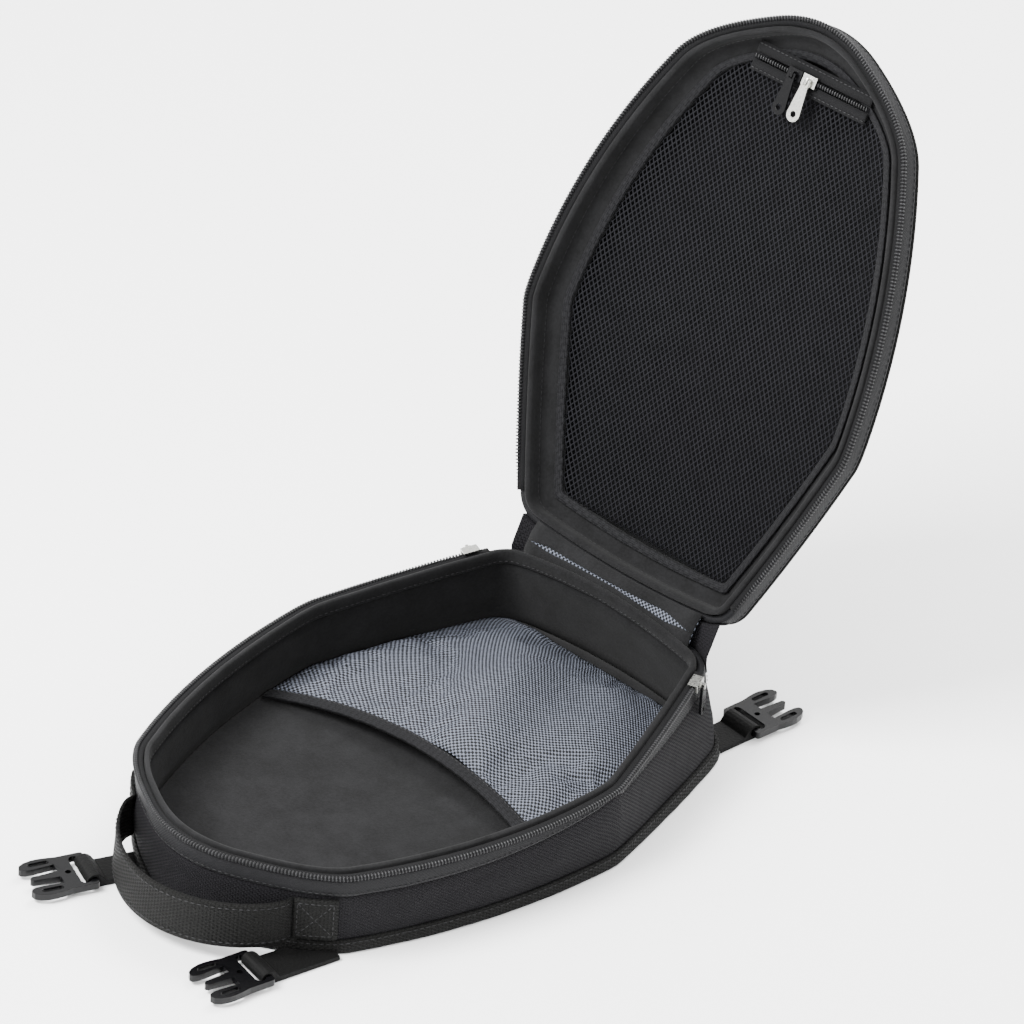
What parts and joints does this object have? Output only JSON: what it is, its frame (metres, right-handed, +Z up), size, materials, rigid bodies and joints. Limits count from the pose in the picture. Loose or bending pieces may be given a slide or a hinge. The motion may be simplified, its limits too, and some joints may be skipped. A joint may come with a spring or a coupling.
{
  "type": "motorcycle tank bag",
  "caption": "Soft motorcycle tank bag with a flared padded base, hinged zip-around domed lid, net lid pocket, mesh floor pocket, webbing handle and corner strap buckles.",
  "frame": {"origin": "centre of the flat underside, midway between the handle end and the hinge end", "axes": "+Z up from the underside, +Y from the handle end towards the lid hinge, +X to the right seen from the handle end"},
  "size_m": [0.222, 0.4887, 0.3435],
  "materials": {
    "cordura": "matte coarse woven polyester",
    "smooth_band": "fine matte woven polyester",
    "webbing": "ribbed polypropylene webbing",
    "felt": "matte brushed lining",
    "net": "black polyester net",
    "air_mesh": "silver-grey knitted air mesh",
    "elastic": "ribbed elastic",
    "nylon_coil": "nylon zip coil",
    "zip_tape": "woven zip tape",
    "foam": "moulded foam",
    "board": "polyethylene board",
    "acetal": "moulded black acetal",
    "plated_zinc": "nickel-plated zinc"
  },
  "bodies": {
    "base": {"base_bottom_panel": "cordura", "base_bottom_binding": "webbing", "base_side_wall": "cordura", "base_rim_band": "smooth_band", "base_floor_board": "board", "base_floor_lining": "felt", "base_wall_lining": "felt", "base_rim_facing": "felt", "base_zip_tape": "zip_tape", "base_zip_coil": "nylon_coil", "floor_mesh_pocket": "air_mesh", "floor_pocket_hem": "elastic", "handle_patch_left": "webbing", "handle_patch_right": "webbing", "buckle_tab_front_left": "webbing", "buckle_tab_front_right": "webbing", "buckle_tab_rear_left": "webbing", "buckle_tab_rear_right": "webbing", "main_zip_slider_left": "plated_zinc", "main_zip_slider_right": "plated_zinc", "hinge_cover": "cordura", "hinge_lining_mesh": "air_mesh"},
    "lid": {"lid_shell": "cordura", "lid_foam_core": "foam", "lid_back_lining": "felt", "lid_rim_band": "smooth_band", "lid_piping": "webbing", "lid_wall_lining": "felt", "lid_zip_tape": "zip_tape", "lid_zip_coil": "nylon_coil", "mesh_pocket_binding": "elastic", "mesh_pocket_net": "net", "pocket_zip_tape_net": "zip_tape", "pocket_zip_tape_tip": "zip_tape", "pocket_zip_coil": "nylon_coil"},
    "handle": {"carry_handle": "webbing"},
    "buckle_front_left": {"buckle_front_left": "acetal"},
    "buckle_front_right": {"buckle_front_right": "acetal"},
    "buckle_rear_left": {"buckle_rear_left": "acetal"},
    "buckle_rear_right": {"buckle_rear_right": "acetal"},
    "main_pull_left": {"main_zip_pull_left": "acetal"},
    "pocket_slider_left": {"pocket_zip_slider_left": "acetal"},
    "pocket_pull_left": {"pocket_zip_pull_left": "acetal"},
    "main_pull_right": {"main_zip_pull_right": "acetal"},
    "pocket_slider_right": {"pocket_zip_slider_right": "plated_zinc"},
    "pocket_pull_right": {"pocket_zip_pull_right": "plated_zinc"}
  },
  "joints": [
    {"name": "lid_hinge", "type": "hinge", "parent": "base", "child": "lid", "pos_m": [0, 0.1509, 0.064], "axis": [1, 0, 0], "range_deg": [-45, 116], "deforming": ["hinge_cover", "hinge_lining_mesh"]},
    {"name": "handle_lift", "type": "hinge", "parent": "base", "child": "handle", "pos_m": [0, -0.131, 0.0334], "axis": [-1, 0, 0], "range_deg": [0, 30]},
    {"name": "buckle_swing_front_left", "type": "hinge", "parent": "base", "child": "buckle_front_left", "pos_m": [-0.0533, -0.16376, 0.0041], "axis": [-0.9272, 0.3746, 0], "range_deg": [0, 60]},
    {"name": "buckle_swing_front_right", "type": "hinge", "parent": "base", "child": "buckle_front_right", "pos_m": [0.05824, -0.15591, 0.0041], "axis": [-0.9781, 0.2079, 0], "range_deg": [0, 35]},
    {"name": "buckle_swing_rear_left", "type": "hinge", "parent": "base", "child": "buckle_rear_left", "pos_m": [-0.07187, 0.17322, 0.0041], "axis": [0.9962, 0.0872, 0], "range_deg": [0, 60]},
    {"name": "buckle_swing_rear_right", "type": "hinge", "parent": "base", "child": "buckle_rear_right", "pos_m": [0.07187, 0.17322, 0.0041], "axis": [0.9962, -0.0872, 0], "range_deg": [0, 60]},
    {"name": "main_pull_swing_left", "type": "hinge", "parent": "base", "child": "main_pull_left", "pos_m": [-0.08298, 0.12605, 0.05414], "axis": [0.3603, 0.9283, 0.0918], "range_deg": [0, 150]},
    {"name": "main_pull_swing_right", "type": "hinge", "parent": "base", "child": "main_pull_right", "pos_m": [0.08298, 0.12605, 0.05414], "axis": [0.3603, -0.9283, -0.0918], "range_deg": [0, 150]},
    {"name": "pocket_zip_travel_left", "type": "slide", "parent": "lid", "child": "pocket_slider_left", "axis": [-1, 0, 0], "range_m": [0, 0.022]},
    {"name": "pocket_pull_swing_left", "type": "hinge", "parent": "pocket_slider_left", "child": "pocket_pull_left", "pos_m": [-0.0096, 0.26248, 0.31543], "axis": [-1, 0, 0], "range_deg": [0, 100]},
    {"name": "pocket_zip_travel_right", "type": "slide", "parent": "lid", "child": "pocket_slider_right", "axis": [1, 0, 0], "range_m": [0, 0.032]},
    {"name": "pocket_pull_swing_right", "type": "hinge", "parent": "pocket_slider_right", "child": "pocket_pull_right", "pos_m": [0, 0.26248, 0.31543], "axis": [-1, 0, 0], "range_deg": [0, 100]}
  ]
}
